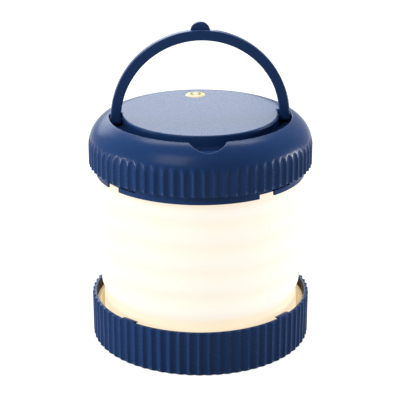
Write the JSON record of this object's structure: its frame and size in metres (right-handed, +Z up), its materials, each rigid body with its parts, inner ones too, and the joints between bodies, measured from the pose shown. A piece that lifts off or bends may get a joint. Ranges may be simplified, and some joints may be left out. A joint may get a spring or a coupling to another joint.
{
  "type": "collapsible camping lantern",
  "caption": "Round collapsible lantern: fluted cap and base joined by a soft glowing bellows shade, with a fold-down hoop handle and a push button.",
  "frame": {"origin": "middle of the foot ring's lower face", "axes": "+Z up, -Y towards the finger notch, X along the handle's pivots"},
  "size_m": [0.12, 0.12, 0.175],
  "materials": {
    "navy_plastic": "satin moulded ABS",
    "shade_silicone": "translucent moulded silicone",
    "white_plastic": "satin moulded",
    "ivory_plastic": "satin moulded",
    "frosted_plastic": "frosted diffuser",
    "cream_plastic": "polished moulded",
    "black_rubber": "matte",
    "navy_rubber": "matte",
    "steel": "plain",
    "board_aluminium": "white solder mask",
    "board_laminate": "green solder mask",
    "led_phosphor": "phosphor",
    "black_plastic": "moulded",
    "connector_plastic": "moulded nylon",
    "battery_wrap": "shrink sleeve",
    "strap_steel": "zinc plated",
    "lead_insulation": "silicone wire sleeve"
  },
  "bodies": {
    "base": {"base_shell": "navy_plastic", "base_inner_ring": "ivory_plastic", "reflector_plate": "white_plastic", "base_screws": "steel", "foot_ring": "black_rubber"},
    "shade": {"bellows": "shade_silicone", "bellows_swivel_ring": "white_plastic"},
    "cap": {"cap_shell": "navy_plastic", "skirt_ring": "navy_plastic", "swivel_retainer": "white_plastic", "cap_screws": "steel", "lamp_plate": "white_plastic", "seal_ring": "black_rubber", "led_board": "board_aluminium", "leds": "led_phosphor", "lens": "frosted_plastic", "handle_pins": "steel", "switch_housing": "black_plastic", "control_board": "board_laminate", "board_screws": "steel", "battery_pack": "battery_wrap", "battery_strap": "strap_steel", "strap_screws": "steel", "lead_socket": "connector_plastic", "battery_leads": "lead_insulation", "lamp_leads": "lead_insulation", "charge_socket": "steel", "flap_pin": "steel"},
    "handle": {"handle": "navy_plastic"},
    "button": {"button": "cream_plastic", "switch_plunger": "black_plastic"},
    "port_flap": {"port_flap": "navy_rubber"}
  },
  "joints": [
    {"name": "collapse", "type": "slide", "parent": "base", "child": "shade", "axis": [0, 0, -1], "range_m": [0, 0.0739], "stiffness_N_per_m": 60, "springref_m": -0.06, "deforming": ["bellows"]},
    {"name": "twist", "type": "hinge", "parent": "shade", "child": "cap", "pos_m": [0, 0, 0.1263], "axis": [0, 0, 1], "range_deg": [0, 12.5], "stiffness_Nm_per_rad": 0.3},
    {"name": "handle_fold", "type": "hinge", "parent": "cap", "child": "handle", "pos_m": [0, 0, 0.1234], "axis": [1, 0, 0], "range_deg": [0, 90]},
    {"name": "button_press", "type": "slide", "parent": "cap", "child": "button", "axis": [0, 0, -1], "range_m": [0, 0.0008], "stiffness_N_per_m": 1500, "springref_m": -0.0004},
    {"name": "flap_open", "type": "hinge", "parent": "cap", "child": "port_flap", "pos_m": [0, 0.0587, 0.107], "axis": [-1, 0, 0], "range_deg": [0, 95]}
  ]
}
